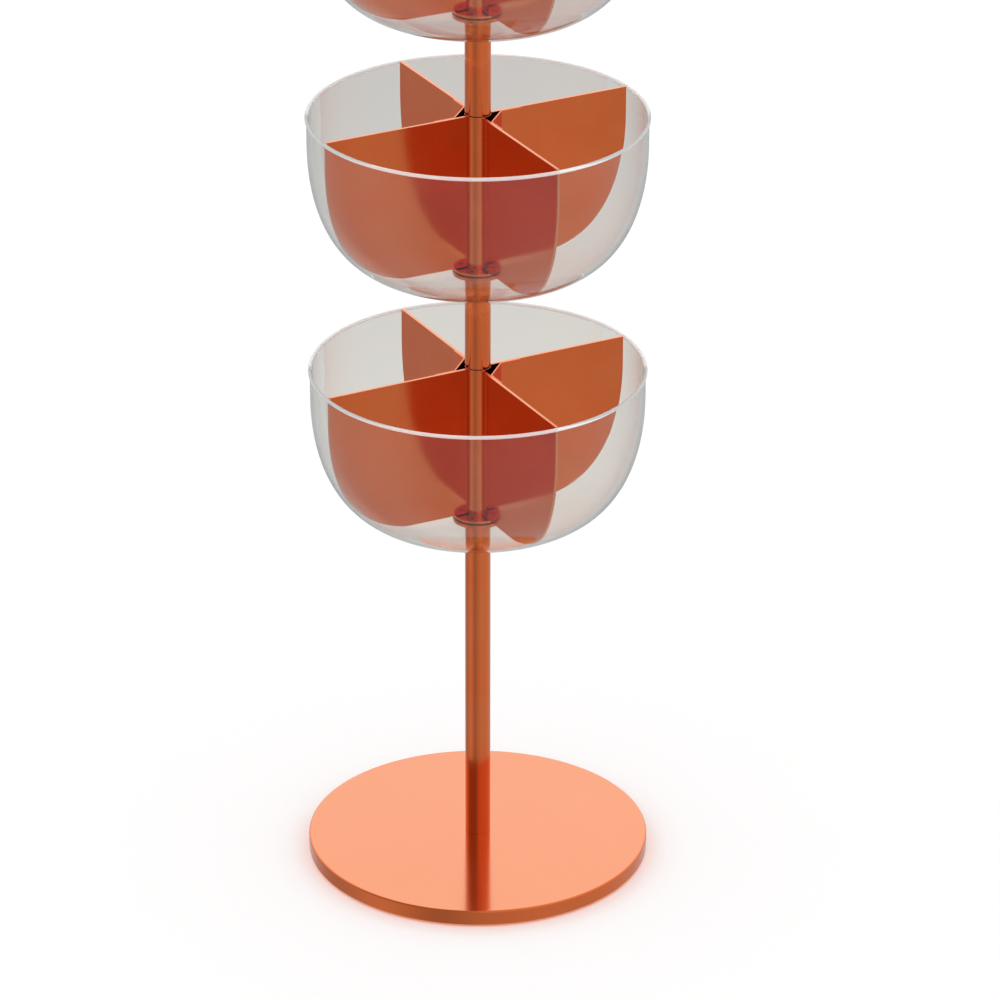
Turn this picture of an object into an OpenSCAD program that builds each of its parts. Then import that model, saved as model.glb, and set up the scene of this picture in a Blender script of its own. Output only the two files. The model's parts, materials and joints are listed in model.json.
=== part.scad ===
// Free-standing display stand: round base plate, slim pole, and clear bowls one above another.
// Each bowl holds four upright divider panels and turns on a fixed shaft inside the pole.
// Lengths are in millimetres. +Z is up, and the origin is the middle of the footprint on the floor.
// The divider panels stand along +X, +Y, -X and -Y.

/* [Base] */
// Diameter of the round base plate
base_d = 343; // [300:1:400]
// Thickness of the base plate
base_t = 16; // [14:1:24]
// Width of the small bevel round both edges of the base plate
base_bevel = 2; // [0.4:0.1:2]
// Diameter of each floor pad
pad_d = 30; // [20:1:40]
// Thickness of each floor pad
pad_t = 3; // [2:0.5:4]
// How far each floor pad stands below the base plate
pad_proud = 1.5; // [1:0.1:2]
// Diameter of the circle through the centres of the floor pads
pad_circle_d = 260; // [150:1:260]

/* [Pole] */
// Outer diameter of the pole tubes and hub tubes
pole_d = 25.4; // [25:0.1:30]
// Wall of the pole tubes and hub tubes
pole_wall = 1.5; // [1:0.1:2]
// Diameter of the fixed shaft inside the pole
shaft_d = 12; // [10:1:14]
// Length of each plug that centres a pole tube on the shaft
plug_len = 14; // [10:1:20]
// Length of the short tube above the top bowl
stub_len = 26; // [25:1:60]
// Height of the domed cap on the pole
cap_h = 6; // [4:0.5:12]

/* [Tiers] */
// How many bowls the stand carries
tier_count = 3; // [1:1:4]
// Height of the lowest bowl's rim above the floor
first_rim_z = 531; // [420:1:700]
// Distance from one bowl's rim to the next one's
tier_pitch = 264; // [230:1:400]

/* [Bowl] */
// Outer diameter of a bowl's wall
bowl_d = 329; // [280:1:340]
// Diameter of the round bead along the rim, flush with the wall inside and proud of it outside
bead_d = 3.6; // [3.2:0.2:6]
// Height of the straight band below the rim
bowl_band = 28; // [10:1:50]
// Depth of a bowl over all
bowl_depth = 162; // [130:1:180]
// Wall of a bowl
bowl_wall = 2; // [1.5:0.5:3]
// Power of the curve that draws the bowl's side in: higher is squarer
side_power = 4.2; // [2:0.1:5]
// Power of the curve that rounds the bowl's depth: higher is squarer
floor_power = 2.1; // [2:0.1:3]

/* [Divider] */
// Thickness of a divider panel
panel_t = 3; // [1.5:0.5:3]
// Gap between a divider panel and the bowl's wall
panel_gap = 0.5; // [0.5:0.5:2]
// Gap between the divider and the bowl's floor
floor_gap = 4; // [4:0.5:8]
// Distance from the pole's axis to the near face of a corner bracket
bracket_offset = 18; // [16:0.5:24]
// Thickness of a corner bracket
bracket_t = 1.5; // [1:0.5:2]
// Distance from the pole's axis to the end of a bracket's flange
bracket_reach = 46; // [40:1:60]

/* [Hub] */
// Diameter of the flange under a bowl and of the clamp ring inside it
flange_d = 50; // [48:1:60]
// Thickness of the flange
flange_t = 4; // [3:0.5:5]
// Thickness of the clamp ring
ring_t = 3; // [2:0.5:3]
// Thickness of the gasket between flange and bowl
gasket_t = 1; // [0.5:0.5:2]
// Diameter of the circle through the clamp screws
screw_circle_d = 37; // [36:0.5:38]
// Diameter of a clamp screw
screw_d = 4; // [3:0.5:4]
// Length of each bush in a hub tube
bush_len = 20; // [12:1:30]
// Thickness of the nylon washer that each bowl turns on
thrust_t = 2; // [1:0.5:3]
// Thickness of the thin washer above each hub tube
glide_t = 0.8; // [0.5:0.1:1.5]

/* [Hidden] */
$fn = 96;
pole_r = pole_d / 2;
tube_bore_r = pole_r - pole_wall;
shaft_r = shaft_d / 2;
bowl_r = bowl_d / 2;
bead_r = bead_d / 2;
flange_r = flange_d / 2;
screw_r = screw_d / 2;
seat_r = flange_r + 3;      // flat land in the middle of a bowl's floor
running = 0.05;             // radial clearance of a bush on the shaft
end_play = 0.1;             // axial clearance above each hub tube
hub_clear = 0.3;            // radial clearance round a hub tube where it passes through
hub_rise = 1;               // how far a hub tube stands above its bowl's rim plane
curve_steps = 24;           // straight pieces in the drawn-in part of the bowl's outline
bead_steps = 12;            // straight pieces in the bead's outline
pad_count = 4;
screw_count = 4;
nut_flats = 18;             // width across the flats of both shaft nuts
nut_h = 7;
nut_washer_t = 2;
nut_pocket_r = 16;
pocket_roof = 6;            // base plate left above the nut pocket
shaft_tail = 2;             // thread showing past each nut
stub_plug_len = 10;
cap_spigot_h = 5;
panel_depth = bowl_depth - bowl_wall - floor_gap;
base_top = pad_proud + base_t;
base_nut_z = base_top - pocket_roof - nut_washer_t - nut_h;
shaft_low = base_nut_z - shaft_tail;
flange_low = -bowl_depth - gasket_t - flange_t;     // flange's underside, from the rim plane
tiers = [1 : tier_count];
spacers = [1 : tier_count + 1];

function rim_z(n) = first_rim_z + tier_pitch * (n - 1);
// Bottom and top of the fixed pole tube below bowl n, or of the stub above the last bowl
function tube_low(n) = n == 1 ? base_top : rim_z(n - 1) + hub_rise + end_play + glide_t;
function tube_high(n) = n > tier_count ? tube_low(n) + stub_len : rim_z(n) + flange_low - thrust_t;
stub_low = tube_low(tier_count + 1);
stub_high = tube_high(tier_count + 1);
top_nut_z = stub_low + stub_plug_len;
shaft_high = top_nut_z + nut_h + shaft_tail;

ROOT_PARTS = ["base_plate", "floor_pads", "base_washer", "base_nut", "centre_shaft", "top_nut", "top_cap"];
TIER_PARTS = ["bowl", "hub_tube", "panel_east", "panel_north", "panel_west", "panel_south",
    "bracket_left", "bracket_right", "bowl_flange", "bowl_gasket", "clamp_ring", "clamp_screws",
    "hub_bushes", "thrust_washer", "glide_washer"];

copper = [0.80, 0.42, 0.26];
steel = [0.62, 0.63, 0.65];
nylon = [0.10, 0.10, 0.10];
rubber = [0.12, 0.12, 0.12];
clear = [0.85, 0.88, 0.88, 0.35];

// A flat ring standing on the XY plane
module ring(outer_r, inner_r, h) {
    difference() {
        cylinder(r = outer_r, h = h);
        translate([0, 0, -1]) cylinder(r = inner_r, h = h + 2);
    }
}

// A hexagon nut standing on the XY plane
module hex_nut() {
    difference() {
        cylinder(d = nut_flats / cos(30), h = nut_h, $fn = 6);
        translate([0, 0, -1]) cylinder(r = shaft_r, h = nut_h + 2);
    }
}

// Places its children round the Z axis on a circle, the first one between +X and +Y
module round_about(count, circle_r) {
    for (i = [0 : count - 1])
        rotate([0, 0, 360 / count * (i + 0.5)]) translate([circle_r, 0, 0]) children();
}

// ---- Base and pole ----

module base_plate() {
    b = base_bevel;
    r = base_d / 2;
    color(copper) difference() {
        translate([0, 0, pad_proud]) rotate_extrude()
            polygon([[0, 0], [r - b, 0], [r, b], [r, base_t - b], [r - b, base_t], [0, base_t]]);
        cylinder(r = shaft_r, h = base_top + 1);
        cylinder(r = nut_pocket_r, h = base_top - pocket_roof);
        round_about(pad_count, pad_circle_d / 2) cylinder(d = pad_d, h = pad_t);
    }
}

module floor_pads() {
    color(rubber) round_about(pad_count, pad_circle_d / 2) cylinder(d = pad_d, h = pad_t);
}

module base_washer() {
    color(steel) translate([0, 0, base_nut_z + nut_h]) ring(shaft_d, shaft_r, nut_washer_t);
}

module base_nut() {
    color(steel) translate([0, 0, base_nut_z]) hex_nut();
}

module centre_shaft() {
    color(steel) translate([0, 0, shaft_low]) cylinder(r = shaft_r, h = shaft_high - shaft_low);
}

module top_nut() {
    color(steel) translate([0, 0, top_nut_z]) hex_nut();
}

// Domed cap with a spigot that fits inside the stub tube
module top_cap() {
    dome = [for (i = [0 : 12]) [pole_r * cos(i * 7.5), cap_h * (0.25 + 0.75 * sin(i * 7.5))]];
    color(copper) translate([0, 0, stub_high]) {
        rotate_extrude() polygon(concat([[0, 0], [pole_r, 0]], dome));
        translate([0, 0, -cap_spigot_h]) cylinder(r = tube_bore_r, h = cap_spigot_h);
    }
}

module pole_tube(n) {
    color(copper) translate([0, 0, tube_low(n)]) ring(pole_r, tube_bore_r, tube_high(n) - tube_low(n));
}

// The plugs that centre a pole tube on the shaft: one at each end, or one in the stub
module tube_plugs(n) {
    is_stub = n > tier_count;
    len = is_stub ? stub_plug_len : plug_len;
    color(nylon) {
        translate([0, 0, tube_low(n)]) ring(tube_bore_r, shaft_r, len);
        if (!is_stub) translate([0, 0, tube_high(n) - len]) ring(tube_bore_r, shaft_r, len);
    }
}

// ---- Bowl ----

// A point on the drawn-in curve below the band: s runs from 0 at the band to 90 on the axis
function drawn_in(r, h, s) =
    [r * pow(cos(s), 2 / side_power), -bowl_band - h * pow(sin(s), 2 / floor_power)];

// The drawn-in curve of the surface that lies inset by d from the bowl's outer surface, with the
// flat land round the axis that the hub is clamped to
function curve_at(d) = concat(
    [for (i = [0 : curve_steps])
        let (p = drawn_in(bowl_r - d, bowl_depth - bowl_band - d, 90 * i / curve_steps))
        if (p[0] > seat_r) p],
    [[seat_r, d - bowl_depth], [0, d - bowl_depth]]);

function backwards(list) = [for (i = [len(list) - 1 : -1 : 0]) list[i]];

// The bead's outline, from the wall's outer surface round the outside and over the top to its inner surface
function bead() =
    let (from = -acos(bowl_wall / bead_r - 1))
    [for (i = [0 : bead_steps])
        let (a = from + (180 - from) * i / bead_steps)
        [bowl_r - bowl_wall + bead_r * (1 + cos(a)), bead_r * (sin(a) - 1)]];

module bowl(n) {
    color(clear) translate([0, 0, rim_z(n)]) difference() {
        rotate_extrude() polygon(concat(bead(), curve_at(bowl_wall), backwards(curve_at(0))));
        translate([0, 0, -bowl_depth - 1]) cylinder(r = pole_r + hub_clear, h = bowl_wall + 2);
        translate([0, 0, -bowl_depth - 1]) round_about(screw_count, screw_circle_d / 2)
            cylinder(r = screw_r + hub_clear, h = bowl_wall + 2);
    }
}

// ---- Divider ----

// One upright panel from the hub tube to the bowl's wall, along the direction angle
module panel(n, angle) {
    inset = bowl_wall + panel_gap;
    edge = [for (p = curve_at(inset)) [p[0], max(p[1], -panel_depth)]];
    color(copper) translate([0, 0, rim_z(n)]) rotate([0, 0, angle]) difference() {
        rotate([90, 0, 0]) translate([0, 0, -panel_t / 2]) linear_extrude(panel_t)
            polygon(concat([[0, 0], [bowl_r - inset, 0]], edge));
        translate([0, 0, -panel_depth - 1]) cylinder(r = pole_r, h = panel_depth + 2);
    }
}

// A bent strip that closes the corner between two panels: a web across it and a flange on each panel
module bracket(n, angle) {
    near = panel_t / 2;
    far = near + bracket_t;
    near_bend = bracket_offset * sqrt(2) - near;
    far_bend = (bracket_offset + bracket_t) * sqrt(2) - far;
    color(copper) translate([0, 0, rim_z(n) - panel_depth]) rotate([0, 0, angle])
        linear_extrude(panel_depth) polygon([
            [bracket_reach, near], [near_bend, near], [near, near_bend], [near, bracket_reach],
            [far, bracket_reach], [far, far_bend], [far_bend, far], [bracket_reach, far]]);
}

// ---- Hub ----

module hub_tube(n) {
    low = flange_low + flange_t;
    color(copper) translate([0, 0, rim_z(n) + low]) ring(pole_r, tube_bore_r, hub_rise - low);
}

module bowl_flange(n) {
    color(copper) translate([0, 0, rim_z(n) + flange_low]) difference() {
        ring(flange_r, shaft_r + 1, flange_t);
        translate([0, 0, -1]) round_about(screw_count, screw_circle_d / 2)
            cylinder(r = screw_r + hub_clear, h = flange_t + 2);
    }
}

module bowl_gasket(n) {
    color(rubber) translate([0, 0, rim_z(n) + flange_low + flange_t]) difference() {
        ring(flange_r, pole_r + hub_clear, gasket_t);
        translate([0, 0, -1]) round_about(screw_count, screw_circle_d / 2)
            cylinder(r = screw_r + hub_clear, h = gasket_t + 2);
    }
}

module clamp_ring(n) {
    color(copper) translate([0, 0, rim_z(n) - bowl_depth + bowl_wall]) difference() {
        ring(flange_r, pole_r + hub_clear, ring_t);
        translate([0, 0, -1]) round_about(screw_count, screw_circle_d / 2)
            cylinder(r = screw_r, h = ring_t + 2);
    }
}

// Four screws up through flange, gasket and bowl into the clamp ring
module clamp_screws(n) {
    head_h = 2.4;
    head_r = 3.5;
    shank = flange_t + gasket_t + bowl_wall + ring_t;
    color(steel) translate([0, 0, rim_z(n) + flange_low]) round_about(screw_count, screw_circle_d / 2) {
        cylinder(r = screw_r, h = shank);
        translate([0, 0, -head_h]) cylinder(r1 = head_r - 1, r2 = head_r, h = head_h);
    }
}

// The two bushes that a hub tube turns on, one at each end
module hub_bushes(n) {
    lows = [flange_low + flange_t, hub_rise - bush_len];
    color(nylon) for (low = lows)
        translate([0, 0, rim_z(n) + low]) ring(tube_bore_r, shaft_r + running, bush_len);
}

module thrust_washer(n) {
    color(nylon) translate([0, 0, rim_z(n) + flange_low - thrust_t]) ring(pole_r, shaft_r, thrust_t);
}

module glide_washer(n) {
    color(nylon) translate([0, 0, rim_z(n) + hub_rise + end_play]) ring(pole_r - 0.5, shaft_r, glide_t);
}

base_plate();
floor_pads();
base_washer();
base_nut();
centre_shaft();
top_nut();
top_cap();
for (n = spacers) {
    pole_tube(n);
    tube_plugs(n);
}
for (n = tiers) {
    bowl(n);
    hub_tube(n);
    panel(n, 0);
    panel(n, 90);
    panel(n, 180);
    panel(n, 270);
    bracket(n, 90);
    bracket(n, -90);
    bowl_flange(n);
    bowl_gasket(n);
    clamp_ring(n);
    clamp_screws(n);
    hub_bushes(n);
    thrust_washer(n);
    glide_washer(n);
}
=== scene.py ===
"""Looks of the tiered bowl display stand: turned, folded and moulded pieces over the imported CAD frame."""

import json
import math

import bmesh
import bpy
from mathutils import Matrix, Vector


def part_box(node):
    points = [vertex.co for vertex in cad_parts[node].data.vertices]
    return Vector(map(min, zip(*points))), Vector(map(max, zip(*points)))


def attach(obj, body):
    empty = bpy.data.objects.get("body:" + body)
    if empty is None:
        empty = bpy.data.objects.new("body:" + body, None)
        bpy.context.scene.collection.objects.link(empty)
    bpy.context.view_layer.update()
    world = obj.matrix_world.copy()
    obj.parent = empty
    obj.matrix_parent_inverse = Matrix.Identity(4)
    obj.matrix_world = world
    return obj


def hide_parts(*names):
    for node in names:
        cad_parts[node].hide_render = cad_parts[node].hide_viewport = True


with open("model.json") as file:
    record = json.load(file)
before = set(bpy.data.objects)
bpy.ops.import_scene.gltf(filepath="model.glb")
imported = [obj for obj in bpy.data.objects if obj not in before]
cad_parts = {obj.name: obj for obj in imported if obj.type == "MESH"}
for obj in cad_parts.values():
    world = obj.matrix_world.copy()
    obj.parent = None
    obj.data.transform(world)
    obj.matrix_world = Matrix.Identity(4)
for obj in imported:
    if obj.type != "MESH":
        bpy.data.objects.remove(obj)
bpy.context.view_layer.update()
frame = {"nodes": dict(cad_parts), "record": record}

RECORD = frame["record"]
BODY_OF = {node: body for body, nodes in RECORD["behaviour"]["bodies"].items() for node in nodes}
SLOT_OF = {part["node"]: part["material_slot"] for part in RECORD["subparts"]}
TIERS = (1, 2, 3)
POLE_TUBES = (1, 2, 3, 4)
COMPASS = {"east": 0, "north": 90, "west": 180, "south": 270}
MM = 0.001
SHARP_ANGLE = math.radians(40)
BEVEL_ANGLE = math.radians(50)
LOOKS_UP = 0.9                          # least upward share of the normal of a face on the base's top; those faces get paler copper as painted light
EDGE_ON = 0.5                           # a cut face's normal has less than this across its sheet; those faces get paler copper as a painted highlight

# ---- Camera ----
CAMERA_AZIMUTH = math.radians(-27.7)    # seen from above, turned from the -Y axis
CAMERA_REACH = 4.898                    # from the pole's axis, along the floor
CAMERA_HEIGHT = 2.686
CAMERA_PITCH = math.radians(25.146)
CAMERA_LENS = 196.93
CAMERA_SHIFT_X = 0.0222

# ---- Sizes that the frame's boxes don't give, in metres ----
BOWL_BAND = 28 * MM                     # straight part below the rim
BOWL_WALL = 2 * MM
BEAD = 3.6 * MM                         # diameter of the round bead along the rim, flush inside
BEAD_PROUD = BEAD - BOWL_WALL           # how far it stands out past the wall
SIDE_POWER = 4.2
FLOOR_POWER = 2.1
SEAT_REACH = 3 * MM                     # flat floor of a bowl, past its flange
HOLE_CLEAR = 0.3 * MM                   # round the hub tube, where it passes through
PANEL_GAP = 0.5 * MM                    # between a panel and the bowl
SHEET = 1.5 * MM                        # thickness of a bracket
BRACKET_OFFSET = 18 * MM                # from the pole's axis to a bracket's near face
BEND_RADIUS = 1.5 * MM                  # inside a bracket's bends
BEAD_STEPS = 28                         # in the section of the bead
SHEET_SOFT = 0.3 * MM                   # bevel along the edges of panels and brackets
TUBE_SOFT = 0.35 * MM                   # radius round the outer edges of a tube's ends
BORE_SOFT = 0.2 * MM                    # and round the inner ones
CAP_SIDE = 0.25                         # straight share of the cap's height above the tube
BASE_EDGE = 2.0 * MM                    # radius round both edges of the base plate
TUBE_WALL = 1.5 * MM
SHAFT_RADIUS = 6 * MM
NUT_POCKET = 16 * MM
PAD_RADIUS = 15 * MM
PAD_DISH = 0.6 * MM
PAD_RING = (0.55, 0.6)                  # where the dish ends and the ring starts, of the radius
SCREW_CIRCLE = 18.5 * MM
SCREW_HEAD = (3.5 * MM, 2.4 * MM)       # radius and height
SCREW_SOCKET = (1.25 * MM, 1.3 * MM)    # half the width across the flats, and depth
SCREW_RIM = 1.35                        # where the dome starts, of half that width
SCREW_CHAMFER = 0.4 * MM

# ---- Tones, linear ----
COPPER = (0.92, 0.19, 0.05, 1)
COPPER_PALE = (0.94, 0.225, 0.068, 1)
# Paler copper on the panels' cut edges: a painted highlight
COPPER_PAINTED_EDGE_HIGHLIGHT = (0.92, 0.34, 0.17, 1)
# The base's upward faces: a paler, less saturated copper that paints the light falling on the top
COPPER_TOP_PAINTED_LIGHT = (0.825, 0.255, 0.088, 1)
COPPER_TOP_PAINTED_LIGHT_PALE = (0.84, 0.262, 0.094, 1)
ACRYLIC = (0.985, 0.99, 0.982, 1)
ACRYLIC_EDGE = (0.97, 0.98, 0.975, 1)
NYLON = (0.018, 0.018, 0.019, 1)
NYLON_PALE = (0.032, 0.032, 0.034, 1)
RUBBER = (0.012, 0.012, 0.012, 1)
RUBBER_DUSTY = (0.03, 0.029, 0.028, 1)
STEEL = (0.55, 0.56, 0.58, 1)
STEEL_PALE = (0.66, 0.67, 0.69, 1)


# ---- Mesh work ----

def rounded(corners, steps=4):
    """An outline of points from corners (x, y, radius): each corner becomes an arc of that radius."""
    points = []
    for i, (x, y, radius) in enumerate(corners):
        here = Vector((x, y))
        back = Vector(corners[i - 1][:2]) - here
        ahead = Vector(corners[(i + 1) % len(corners)][:2]) - here
        if radius <= 0:
            points.append(tuple(here))
            continue
        half = back.angle(ahead) / 2
        run = radius / math.tan(half)
        back.normalize()
        ahead.normalize()
        centre = here + (back + ahead).normalized() * radius / math.sin(half)
        start = here + back * run - centre
        end = here + ahead * run - centre
        sweep = start.angle_signed(end)
        for k in range(steps + 1):
            spoke = start.copy()
            spoke.rotate(Matrix.Rotation(-sweep * k / steps, 2))
            points.append(tuple(centre + spoke))
    return points


def turn(bm, outline, segments=96, at=(0, 0), loop=True, slots=None):
    """Turns (radius, height) points round an upright line. A radius may be a function of the angle."""
    rings = []
    for radius, height in outline:
        ring = []
        for k in range(segments):
            angle = 2 * math.pi * k / segments
            r = radius(angle) if callable(radius) else radius
            x, y = at[0] + r * math.cos(angle), at[1] + r * math.sin(angle)
            ring.append(bm.verts.new((x, y, height)))
            if not callable(radius) and radius < 1e-7:
                break
        rings.append(ring)
    last = len(rings) if loop else len(rings) - 1
    for i in range(last):
        low, high = rings[i], rings[(i + 1) % len(rings)]
        if len(low) == len(high) == 1:
            continue
        for k in range(segments):
            after = (k + 1) % segments
            below = [low[k % len(low)], low[after % len(low)]]
            above = [high[after % len(high)], high[k % len(high)]]
            face = bm.faces.new(list(dict.fromkeys(below + above)))
            if slots:
                face.material_index = slots[i]


def stand_up(bm, outline, place, thickness):
    """A flat plate with that outline, thickness deep, put in place by a matrix."""
    front = [bm.verts.new(place @ Vector((x, y, thickness / 2))) for x, y in outline]
    rear = [bm.verts.new(place @ Vector((x, y, -thickness / 2))) for x, y in outline]
    bm.faces.new(front)
    bm.faces.new(rear[::-1])
    for i in range(len(outline)):
        j = (i + 1) % len(outline)
        bm.faces.new((front[j], front[i], rear[i], rear[j]))


def piece(name, bm, nodes, materials, bevel=0.0, body=None):
    """Makes the object, rides it on the body of the CAD nodes it stands for, and gives it its finish."""
    bmesh.ops.recalc_face_normals(bm, faces=bm.faces)
    mesh = bpy.data.meshes.new(name)
    bm.to_mesh(mesh)
    bm.free()
    mesh.shade_smooth()
    if not bevel:
        mesh.set_sharp_from_angle(angle=SHARP_ANGLE)
    made = bpy.data.objects.new(name, mesh)
    bpy.context.scene.collection.objects.link(made)
    for material in materials:
        mesh.materials.append(material)
    if bevel:
        edge = made.modifiers.new("soft_edges", "BEVEL")
        edge.width = bevel
        edge.segments = 2
        edge.limit_method = "ANGLE"
        edge.angle_limit = BEVEL_ANGLE
    weigh = made.modifiers.new("even_shading", "WEIGHTED_NORMAL")
    weigh.keep_sharp = True
    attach(made, body or BODY_OF[nodes[0]])
    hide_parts(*nodes)
    return made


def size_of(node):
    """Radius, bottom and top of a round CAD node."""
    low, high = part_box(node)
    return (high.x - low.x) / 2, low.z, high.z


# ---- Materials ----

class Tree:
    """A material's node tree, with short calls for the nodes that the finishes share."""

    def __init__(self, name):
        self.material = bpy.data.materials.new(name)
        self.material.use_nodes = True
        self.nodes = self.material.node_tree.nodes
        self.links = self.material.node_tree.links
        self.shader = self.nodes["Principled BSDF"]
        self.place = self.nodes.new("ShaderNodeTexCoord").outputs["Object"]

    def set(self, **values):
        for socket, value in values.items():
            self.shader.inputs[socket.replace("_", " ")].default_value = value

    def link(self, output, socket):
        self.links.new(output, self.shader.inputs[socket])

    def noise(self, scale, detail=3.0, stretch=(1, 1, 1), distortion=0.0):
        mapping = self.nodes.new("ShaderNodeMapping")
        mapping.inputs["Scale"].default_value = stretch
        self.links.new(self.place, mapping.inputs["Vector"])
        noise = self.nodes.new("ShaderNodeTexNoise")
        noise.inputs["Scale"].default_value = scale
        noise.inputs["Detail"].default_value = detail
        noise.inputs["Distortion"].default_value = distortion
        self.links.new(mapping.outputs["Vector"], noise.inputs["Vector"])
        return noise.outputs["Fac"]

    def spread(self, value, low, high, start=0.3, end=0.7):
        ranged = self.nodes.new("ShaderNodeMapRange")
        ranged.inputs["From Min"].default_value = start
        ranged.inputs["From Max"].default_value = end
        ranged.inputs["To Min"].default_value = low
        ranged.inputs["To Max"].default_value = high
        self.links.new(value, ranged.inputs["Value"])
        return ranged.outputs["Result"]

    def blend(self, value, first, second):
        mix = self.nodes.new("ShaderNodeMix")
        mix.data_type = "RGBA"
        mix.inputs["A"].default_value = first
        mix.inputs["B"].default_value = second
        self.links.new(value, mix.inputs["Factor"])
        return mix.outputs["Result"]

    def add(self, first, second):
        total = self.nodes.new("ShaderNodeMath")
        total.operation = "ADD"
        self.links.new(first, total.inputs[0])
        self.links.new(second, total.inputs[1])
        return total.outputs["Value"]

    def bump(self, value, depth, strength=1.0):
        bump = self.nodes.new("ShaderNodeBump")
        bump.inputs["Distance"].default_value = depth
        bump.inputs["Strength"].default_value = strength
        self.links.new(value, bump.inputs["Height"])
        self.link(bump.outputs["Normal"], "Normal")


def copper_plate(name="copper_plate", tone=COPPER, pale=COPPER_PALE, coat=0.25, dull=0.10):
    """Lacquered copper plating: fine upright brush lines, cloudy tone, and a slightly uneven gloss."""
    tree = Tree(name)
    cloud = tree.noise(14, 4, distortion=0.6)
    grain = tree.noise(900, 2)
    brush = tree.noise(700, 3, stretch=(1, 1, 0.012))
    tree.set(Metallic=1.0, Coat_Weight=coat, Coat_Roughness=0.08)
    tree.link(tree.blend(tree.spread(cloud, 0, 1), tone, pale), "Base Color")
    worn = tree.add(tree.spread(cloud, dull, dull + 0.025), tree.spread(brush, 0.0, 0.03))
    tree.link(worn, "Roughness")
    tree.bump(tree.add(tree.spread(grain, 0, 0.5), tree.spread(brush, 0, 1)), 0.000004)
    return tree.material


def clear_acrylic():
    """Thermoformed acrylic: clear, gently wavy, with faint smears in its gloss."""
    tree = Tree("clear_acrylic")
    wave = tree.noise(7, 1)
    smear = tree.noise(30, 5, stretch=(1, 1, 0.4), distortion=1.5)
    tree.set(Base_Color=ACRYLIC, IOR=1.49, Transmission_Weight=1.0)
    tree.link(tree.spread(smear, 0.0, 0.05), "Roughness")
    tree.bump(wave, 0.00005)
    return tree.material


def acrylic_edge():
    """The bead along the rim: slightly milky, so that it gathers light."""
    tree = Tree("acrylic_edge")
    cloud = tree.noise(60, 2)
    tree.set(Base_Color=ACRYLIC_EDGE, IOR=1.2, Transmission_Weight=0.5)
    tree.link(tree.spread(cloud, 0.08, 0.14), "Roughness")
    tree.bump(cloud, 0.00002)
    return tree.material


def nylon():
    """Black moulded nylon with a fine matt grain."""
    tree = Tree("nylon")
    grain = tree.noise(1500, 3)
    tree.link(tree.blend(tree.spread(grain, 0, 1), NYLON, NYLON_PALE), "Base Color")
    tree.link(tree.spread(grain, 0.45, 0.6), "Roughness")
    tree.bump(grain, 0.00001)
    return tree.material


def rubber():
    """Black rubber, dusty in its low spots."""
    tree = Tree("rubber")
    dust = tree.noise(90, 5)
    grain = tree.noise(2200, 2)
    tree.link(tree.blend(tree.spread(dust, 0, 1), RUBBER, RUBBER_DUSTY), "Base Color")
    tree.link(tree.spread(dust, 0.7, 0.9), "Roughness")
    tree.bump(grain, 0.00002)
    return tree.material


def plain_steel():
    """Zinc-plated steel with a fine spangle."""
    tree = Tree("plain_steel")
    spangle = tree.noise(260, 4, distortion=0.8)
    tree.set(Metallic=1.0)
    tree.link(tree.blend(tree.spread(spangle, 0, 1), STEEL, STEEL_PALE), "Base Color")
    tree.link(tree.spread(spangle, 0.24, 0.38), "Roughness")
    tree.bump(spangle, 0.000008)
    return tree.material


FINISH = {
    "copper_plate": copper_plate(),
    "clear_acrylic": clear_acrylic(),
    "nylon": nylon(),
    "rubber": rubber(),
    "plain_steel": plain_steel(),
}
EDGE_FINISH = acrylic_edge()
# The panels' edge faces: paler copper as a painted highlight, and a duller gloss
EDGE_PAINTED_HIGHLIGHT = copper_plate("copper_edge_painted_highlight", COPPER_PAINTED_EDGE_HIGHLIGHT, COPPER_PAINTED_EDGE_HIGHLIGHT, dull=0.25)
# A lit copy of the copper for the base's top faces: painted light, with a full lacquer coat
TOP_PAINTED_LIGHT = copper_plate("copper_top_painted_light", COPPER_TOP_PAINTED_LIGHT, COPPER_TOP_PAINTED_LIGHT_PALE, coat=1.0)


def finish_of(node):
    return FINISH[SLOT_OF[node]]


def refinish(bm, chosen):
    """Gives the second slot to the faces whose normals are chosen."""
    bmesh.ops.recalc_face_normals(bm, faces=bm.faces)
    for face in bm.faces:
        if chosen(face.normal):
            face.material_index = 1


# ---- Base and pole ----

def build_base():
    """The plate, with the nut pocket and the floor pads' seats let into its underside."""
    reach, low, high = size_of("base_plate")
    shaft = size_of("centre_shaft")[0]
    pocket = NUT_POCKET
    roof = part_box("base_washer")[1].z
    outline = rounded([(pocket, low, 0), (pocket, roof, 0), (shaft, roof, 0), (shaft, high, 0),
                       (reach, high, BASE_EDGE), (reach, low, BASE_EDGE)], 5)
    bm = bmesh.new()
    turn(bm, outline, segments=256, loop=False)
    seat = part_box("floor_pads")[1].z
    for x, y in pad_centres():
        turn(bm, [(0, seat), (PAD_RADIUS, seat), (PAD_RADIUS, low)], segments=48, at=(x, y), loop=False)
    border = [edge for edge in bm.edges if edge.is_boundary]
    bmesh.ops.triangle_fill(bm, edges=border, use_beauty=True, normal=(0, 0, -1))
    # Upward faces take the second slot: paler copper painted on as light on the top
    refinish(bm, lambda way: way.z > LOOKS_UP)
    piece("base_plate_turned", bm, ["base_plate"], [finish_of("base_plate"), TOP_PAINTED_LIGHT])


def pad_centres():
    low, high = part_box("floor_pads")
    return [(x, y) for x in (low.x + PAD_RADIUS, high.x - PAD_RADIUS)
            for y in (low.y + PAD_RADIUS, high.y - PAD_RADIUS)]


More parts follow.
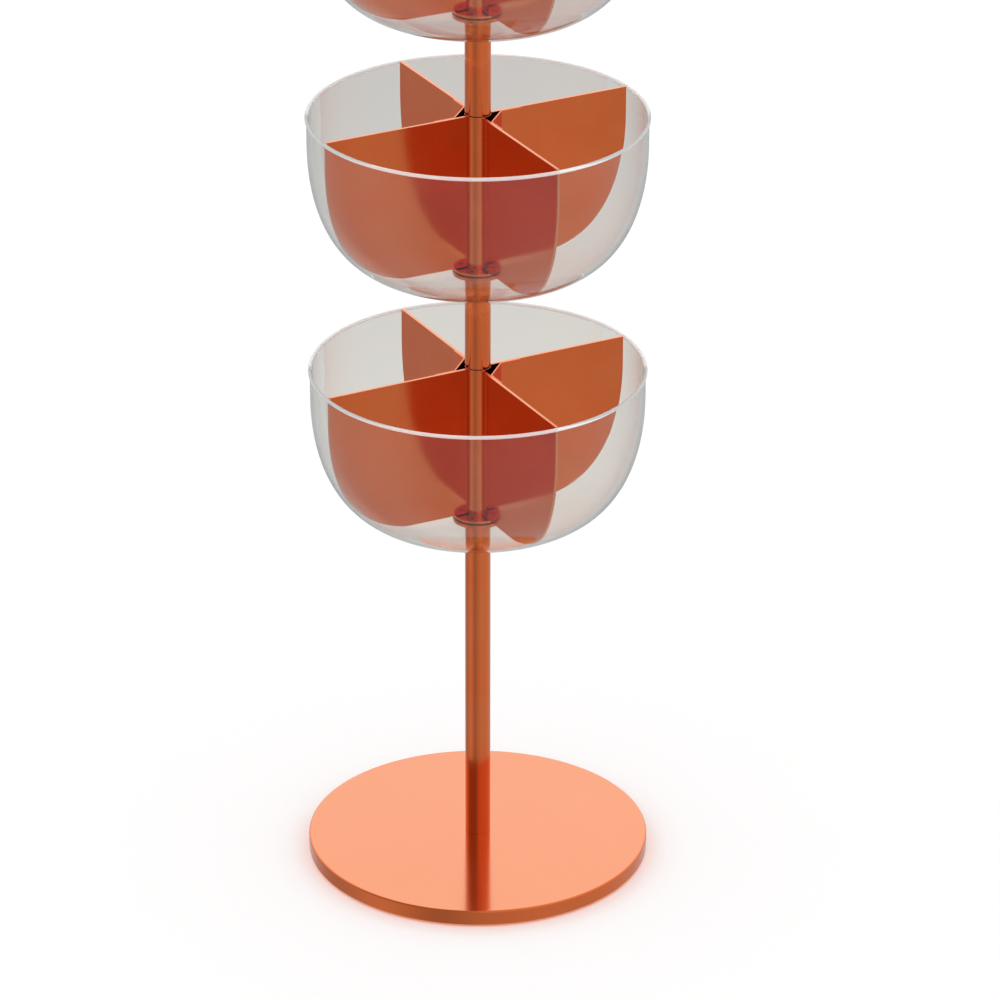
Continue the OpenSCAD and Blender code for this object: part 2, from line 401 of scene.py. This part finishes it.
def build_pads():
    """Moulded pads with a raised ring that stands on the floor."""
    low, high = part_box("floor_pads")
    dish, ring = (PAD_RADIUS * share for share in PAD_RING)
    corners = [(0, high.z, 0), (0, low.z + PAD_DISH, 0), (dish, low.z + PAD_DISH, 0.2 * MM),
               (ring, low.z, 0.2 * MM), (PAD_RADIUS, low.z, 0.5 * MM), (PAD_RADIUS, high.z, 0)]
    bm = bmesh.new()
    for x, y in pad_centres():
        turn(bm, rounded(corners, 3), segments=48, at=(x, y), loop=False)
    piece("floor_pads_moulded", bm, ["floor_pads"], [finish_of("floor_pads")])


def build_tube(node, name, wall=TUBE_WALL):
    reach, low, high = size_of(node)
    corners = [(reach - wall, low, BORE_SOFT), (reach, low, TUBE_SOFT),
               (reach, high, TUBE_SOFT), (reach - wall, high, BORE_SOFT)]
    bm = bmesh.new()
    turn(bm, rounded(corners, 3), segments=96)
    piece(name, bm, [node], [finish_of(node)])


def build_cap():
    reach, low, high = size_of("top_cap")
    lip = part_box("pole_tube_4")[1].z
    dome = high - lip
    spigot = reach - TUBE_WALL
    side = lip + dome * CAP_SIDE
    crown = [(reach * math.cos(a), side + (high - side) * math.sin(a))
             for a in (math.pi / 2 * k / 14 for k in range(14, 0, -1))]
    foot = rounded([(reach, side, 0), (reach, lip, 0.25 * MM), (spigot, lip, 0),
                    (spigot, low, 0.4 * MM), (0, low, 0)], 3)
    bm = bmesh.new()
    turn(bm, crown + foot, segments=96, loop=False)
    piece("top_cap_domed", bm, ["top_cap"], [finish_of("top_cap")])


# ---- Bowl unit ----

def wall_curve(reach, depth, inset, seat, steps=56):
    """The bowl's side and floor, inset from its outer surface, from the band down to the flat seat."""
    points = []
    for k in range(steps):
        s = math.pi / 2 * k / steps
        radius = (reach - inset) * math.cos(s) ** (2 / SIDE_POWER)
        drop = BOWL_BAND + (depth - BOWL_BAND - inset) * math.sin(s) ** (2 / FLOOR_POWER)
        if radius > seat:
            points.append((radius, -drop))
    return points + [(seat, inset - depth)]


def bead_arc(reach):
    """The bead's section, from the wall's inner surface over the top to its outer surface."""
    half = BEAD / 2
    last = -math.acos(BOWL_WALL / half - 1)
    angles = [math.pi + (last - math.pi) * k / BEAD_STEPS for k in range(BEAD_STEPS + 1)]
    return [(reach - half + half * math.cos(a), half * (math.sin(a) - 1)) for a in angles]


def build_bowl(n):
    node = f"bowl_{n}"
    reach, low, rim = size_of(node)
    depth = rim - low
    seat = size_of(f"bowl_flange_{n}")[0] + SEAT_REACH
    hole = size_of(f"hub_tube_{n}")[0] + HOLE_CLEAR
    wall = reach - BEAD_PROUD
    outer = wall_curve(wall, depth, 0, seat)
    inner = wall_curve(wall, depth, BOWL_WALL, seat)[::-1]
    outline = bead_arc(reach) + outer + [(hole, -depth), (hole, BOWL_WALL - depth)] + inner
    slots = [1] * BEAD_STEPS + [0] * (len(outline) - BEAD_STEPS)
    bm = bmesh.new()
    turn(bm, [(r, rim + z) for r, z in outline], segments=192, slots=slots)
    piece(f"bowl_{n}_formed", bm, [node], [finish_of(node), EDGE_FINISH])


def build_panel(side, n):
    node = f"panel_{side}_{n}"
    reach, low, rim = size_of(f"bowl_{n}")
    panel_low, panel_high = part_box(node)
    floor = panel_low.z - rim
    hub = size_of(f"hub_tube_{n}")[0]
    curve = wall_curve(reach - BEAD_PROUD, rim - low, BOWL_WALL + PANEL_GAP, 0)
    edge = [(r, z) for r, z in curve if z > floor]
    toe = [r for r, z in curve if z <= floor][0]
    outline = [(hub, floor), (hub, 0), (edge[0][0], 0)] + edge + [(toe, floor)]
    thickness = min(panel_high.x - panel_low.x, panel_high.y - panel_low.y)
    place = (Matrix.Rotation(math.radians(COMPASS[side]), 4, "Z") @ Matrix.Translation((0, 0, rim))
             @ Matrix.Rotation(math.pi / 2, 4, "X"))
    bm = bmesh.new()
    stand_up(bm, outline, place, thickness)
    across = place.to_3x3() @ Vector((0, 0, 1))
    # Edge faces take the second slot: a painted highlight in paler copper
    refinish(bm, lambda way: abs(way.dot(across)) < EDGE_ON)
    piece(f"{node}_sheet", bm, [node], [finish_of(node), EDGE_PAINTED_HIGHLIGHT], bevel=SHEET_SOFT)


def build_bracket(side, quarter, n):
    """A strip bent across the corner between two panels, with true bend radii."""
    node = f"bracket_{side}_{n}"
    low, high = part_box(node)
    reach = max(abs(low.x), abs(high.x))
    near = min(abs(low.x), abs(high.x))
    far = near + SHEET
    near_bend = BRACKET_OFFSET * math.sqrt(2) - near
    far_bend = (BRACKET_OFFSET + SHEET) * math.sqrt(2) - far
    outer = BEND_RADIUS + SHEET
    outline = rounded([
        (reach, near, 0), (near_bend, near, outer), (near, near_bend, outer), (near, reach, 0),
        (far, reach, 0), (far, far_bend, BEND_RADIUS), (far_bend, far, BEND_RADIUS), (reach, far, 0)], 5)
    middle = Matrix.Translation((0, 0, (low.z + high.z) / 2))
    bm = bmesh.new()
    stand_up(bm, outline, Matrix.Rotation(math.radians(quarter), 4, "Z") @ middle, high.z - low.z)
    piece(f"{node}_folded", bm, [node], [finish_of(node)], bevel=SHEET_SOFT)


def build_ring(node, name, inner, soft, segments=96):
    reach, low, high = size_of(node)
    corners = [(inner, low, soft), (reach, low, soft), (reach, high, soft), (inner, high, soft)]
    bm = bmesh.new()
    turn(bm, rounded(corners, 4), segments=segments)
    piece(name, bm, [node], [finish_of(node)])


def build_screws(n):
    """Button-head screws with a hexagon socket, pointing up into the clamp ring."""
    node = f"clamp_screws_{n}"
    low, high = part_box(node)
    head_r, head_h = SCREW_HEAD
    flat, depth = SCREW_SOCKET
    shank = 2 * MM
    under = low.z + head_h

    def hexagon(angle):
        return flat / math.cos((angle + math.pi / 6) % (math.pi / 3) - math.pi / 6)

    start = flat * SCREW_RIM
    dome = [(start + (head_r - start) * math.sin(a), under - head_h * math.cos(a))
            for a in (math.pi / 2 * k / 8 for k in range(9))]
    outline = ([(0, low.z + depth), (hexagon, low.z + depth), (hexagon, low.z)] + dome
               + [(shank, under), (shank, high.z - SCREW_CHAMFER),
                  (shank - SCREW_CHAMFER, high.z), (0, high.z)])
    bm = bmesh.new()
    for k in range(4):
        angle = math.radians(45 + 90 * k)
        turn(bm, outline, segments=36, loop=False,
             at=(SCREW_CIRCLE * math.cos(angle), SCREW_CIRCLE * math.sin(angle)))
    piece(f"{node}_socket_head", bm, [node], [finish_of(node)])


def build_unit(n):
    build_bowl(n)
    for side in COMPASS:
        build_panel(side, n)
    build_bracket("left", 90, n)
    build_bracket("right", -90, n)
    build_tube(f"hub_tube_{n}", f"hub_tube_{n}_drawn")
    hub = size_of(f"hub_tube_{n}")[0]
    build_ring(f"bowl_flange_{n}", f"bowl_flange_{n}_turned", SHAFT_RADIUS + MM, 0.7 * MM)
    build_ring(f"bowl_gasket_{n}", f"bowl_gasket_{n}_moulded", hub + HOLE_CLEAR, 0.4 * MM)
    build_ring(f"clamp_ring_{n}", f"clamp_ring_{n}_turned", hub + HOLE_CLEAR, 0.6 * MM)
    build_ring(f"thrust_washer_{n}", f"thrust_washer_{n}_moulded", SHAFT_RADIUS, 0.4 * MM)
    build_ring(f"glide_washer_{n}", f"glide_washer_{n}_moulded", SHAFT_RADIUS, 0.2 * MM)
    build_screws(n)


# ---- Stage: camera, world and floor ----

# What metal mirrors: (degrees round from the camera, tone), below and above the horizon
GLOSSY_LOW = [(-180, 0.58), (-152, 0.55), (-125, 0.40), (-100, 0.40), (-75, 0.60), (-50, 0.50), (-28, 0.30),
              (-5, 0.42), (35, 0.58), (62, 0.50), (105, 0.60), (150, 0.55), (180, 0.58)]
GLOSSY_HIGH = [(-180, 1.15), (-140, 1.10), (-100, 0.55), (-80, 0.32), (-12, 0.28), (8, 0.70), (90, 0.75),
               (135, 1.0), (155, 1.15), (180, 1.15)]
GLOSSY_SCALE = 2.0                      # colour ramps stop at 1: tones are divided and scaled back
SECOND_MIRROR = 0.90                    # how much of that metal shows in metal
SEEN_THROUGH = 0.70                     # what acrylic shows of the studio's walls
OVERHEAD = 1.25                         # and of its ceiling
CEILING = (0.05, 0.5)                   # sines of the heights between which one turns into the other
DIFFUSE_LIGHT = 1.3
HORIZON = 0.10                          # half the height of the turn from low to high, as a sine
FLOOR_RADIUS = 3.2
FLOOR_DROP = 0.3 * MM                   # keeps the floor off the pads' undersides
FLOOR_WHITE = (0.85, 0.85, 0.85, 1)
FLOOR_BEYOND = [(0.35, (0.76, 0.76, 0.72)), (0.66, (0.60, 0.605, 0.59))]   # its tone seen through acrylic


def make_camera():
    lens = bpy.data.cameras.new("camera")
    lens.lens = CAMERA_LENS
    lens.sensor_width = 36
    lens.shift_x = CAMERA_SHIFT_X
    lens.clip_end = 100
    camera = bpy.data.objects.new("camera", lens)
    camera.location = (CAMERA_REACH * math.sin(CAMERA_AZIMUTH), -CAMERA_REACH * math.cos(CAMERA_AZIMUTH),
                       CAMERA_HEIGHT)
    camera.rotation_euler = (math.pi / 2 - CAMERA_PITCH, 0, CAMERA_AZIMUTH)
    bpy.context.scene.collection.objects.link(camera)
    bpy.context.scene.camera = camera


class Studio:
    """Short calls for the world's and the floor's node trees."""

    def __init__(self, tree):
        self.nodes = tree.nodes
        self.links = tree.links
        self.nodes.clear()
        self.path = self.nodes.new("ShaderNodeLightPath")

    def bounced(self, kind, times=1):
        """1 if the ray has bounced that way so many times, otherwise 0."""
        test = self.nodes.new("ShaderNodeMath")
        test.operation = "GREATER_THAN"
        test.inputs[1].default_value = times - 0.5
        self.links.new(self.path.outputs[kind + " Depth"], test.inputs[0])
        return test.outputs["Value"]

    def ramp(self, value, stops, smooth=True):
        ramp = self.nodes.new("ShaderNodeValToRGB")
        ramp.color_ramp.interpolation = "B_SPLINE" if smooth else "LINEAR"
        points = ramp.color_ramp.elements
        while len(points) < len(stops):
            points.new(0.5)
        for point, (place, tone) in zip(points, stops):
            point.position = place
            point.color = (*tone, 1) if hasattr(tone, "__len__") else (tone, tone, tone, 1)
        self.links.new(value, ramp.inputs["Fac"])
        return ramp.outputs["Color"]

    def mix(self, factor, first, second):
        mix = self.nodes.new("ShaderNodeMix")
        mix.data_type = "RGBA"
        self.links.new(factor, mix.inputs["Factor"])
        for socket, tone in (("A", first), ("B", second)):
            if isinstance(tone, bpy.types.NodeSocket):
                self.links.new(tone, mix.inputs[socket])
            else:
                mix.inputs[socket].default_value = (tone, tone, tone, 1)
        return mix.outputs["Result"]

    def multiply(self, first, second):
        product = self.nodes.new("ShaderNodeVectorMath")
        product.operation = "MULTIPLY"
        self.links.new(first, product.inputs[0])
        self.links.new(second, product.inputs[1])
        return product.outputs["Vector"]

    def turn_over(self, value, start, end):
        """Goes smoothly from 0 to 1 as value goes from start to end."""
        ranged = self.nodes.new("ShaderNodeMapRange")
        ranged.interpolation_type = "SMOOTHSTEP"
        ranged.inputs["From Min"].default_value = start
        ranged.inputs["From Max"].default_value = end
        self.links.new(value, ranged.inputs["Value"])
        return ranged.outputs["Result"]

    def choose(self, factor, first, second):
        mix = self.nodes.new("ShaderNodeMixShader")
        self.links.new(factor, mix.inputs["Fac"])
        self.links.new(first, mix.inputs[1])
        self.links.new(second, mix.inputs[2])
        return mix.outputs["Shader"]


def light_world():
    """White to the eye, and a soft studio of paler and darker walls in what the metal mirrors."""
    world = bpy.data.worlds.new("studio")
    world.use_nodes = True
    bpy.context.scene.world = world
    s = Studio(world.node_tree)
    way = s.nodes.new("ShaderNodeTexCoord").outputs["Generated"]
    turned = s.nodes.new("ShaderNodeVectorRotate")
    turned.rotation_type = "Z_AXIS"
    turned.inputs["Angle"].default_value = math.pi / 2 - CAMERA_AZIMUTH
    s.links.new(way, turned.inputs["Vector"])
    around = s.nodes.new("ShaderNodeTexGradient")
    around.gradient_type = "RADIAL"
    s.links.new(turned.outputs["Vector"], around.inputs["Vector"])
    split = s.nodes.new("ShaderNodeSeparateXYZ")
    s.links.new(way, split.inputs["Vector"])
    height = split.outputs["Z"]
    low, high = (s.ramp(around.outputs["Fac"], [(a / 360 + 0.5, tone / GLOSSY_SCALE) for a, tone in stops])
                 for stops in (GLOSSY_LOW, GLOSSY_HIGH))
    scale = s.mix(s.bounced("Glossy", 2), GLOSSY_SCALE, GLOSSY_SCALE * SECOND_MIRROR)
    mirrored = s.multiply(s.mix(s.turn_over(height, -HORIZON, HORIZON), low, high), scale)
    beyond = s.mix(s.turn_over(height, *CEILING), SEEN_THROUGH, OVERHEAD)
    seen = s.mix(s.bounced("Transmission"), 1.0, beyond)
    seen = s.mix(s.bounced("Glossy"), seen, mirrored)
    seen = s.mix(s.bounced("Diffuse"), seen, DIFFUSE_LIGHT)
    light = s.nodes.new("ShaderNodeBackground")
    s.links.new(seen, light.inputs["Color"])
    out = s.nodes.new("ShaderNodeOutputWorld")
    s.links.new(light.outputs["Background"], out.inputs["Surface"])


def lay_floor():
    """A plain white floor. Metal doesn't mirror it, and acrylic shows it in a greyer tone."""
    material = bpy.data.materials.new("studio_floor")
    material.use_nodes = True
    s = Studio(material.node_tree)
    place = s.nodes.new("ShaderNodeTexCoord").outputs["Object"]
    distance = s.nodes.new("ShaderNodeVectorMath")
    distance.operation = "LENGTH"
    s.links.new(place, distance.inputs[0])
    share = s.nodes.new("ShaderNodeMath")
    share.operation = "DIVIDE"
    share.inputs[1].default_value = FLOOR_RADIUS
    s.links.new(distance.outputs["Value"], share.inputs[0])
    grey = s.nodes.new("ShaderNodeEmission")
    s.links.new(s.ramp(share.outputs["Value"], FLOOR_BEYOND), grey.inputs["Color"])
    white = s.nodes.new("ShaderNodeBsdfDiffuse")
    white.inputs["Color"].default_value = FLOOR_WHITE
    clear = s.nodes.new("ShaderNodeBsdfTransparent")
    shown = s.choose(s.bounced("Transmission"), white.outputs["BSDF"], grey.outputs["Emission"])
    shown = s.choose(s.bounced("Glossy"), shown, clear.outputs["BSDF"])
    out = s.nodes.new("ShaderNodeOutputMaterial")
    s.links.new(shown, out.inputs["Surface"])
    bm = bmesh.new()
    bmesh.ops.create_circle(bm, cap_ends=True, radius=FLOOR_RADIUS, segments=96)
    mesh = bpy.data.meshes.new("studio_floor")
    bm.to_mesh(mesh)
    bm.free()
    mesh.materials.append(material)
    floor = bpy.data.objects.new("studio_floor", mesh)
    floor.location.z = -FLOOR_DROP
    bpy.context.scene.collection.objects.link(floor)


def main():
    bpy.context.scene.view_settings.view_transform = "Standard"
    make_camera()
    light_world()
    lay_floor()
    for node, made in frame["nodes"].items():
        made.data.materials.clear()
        made.data.materials.append(finish_of(node))
    build_base()
    build_pads()
    for n in POLE_TUBES:
        build_tube(f"pole_tube_{n}", f"pole_tube_{n}_drawn")
    build_cap()
    for n in TIERS:
        build_unit(n)


main()
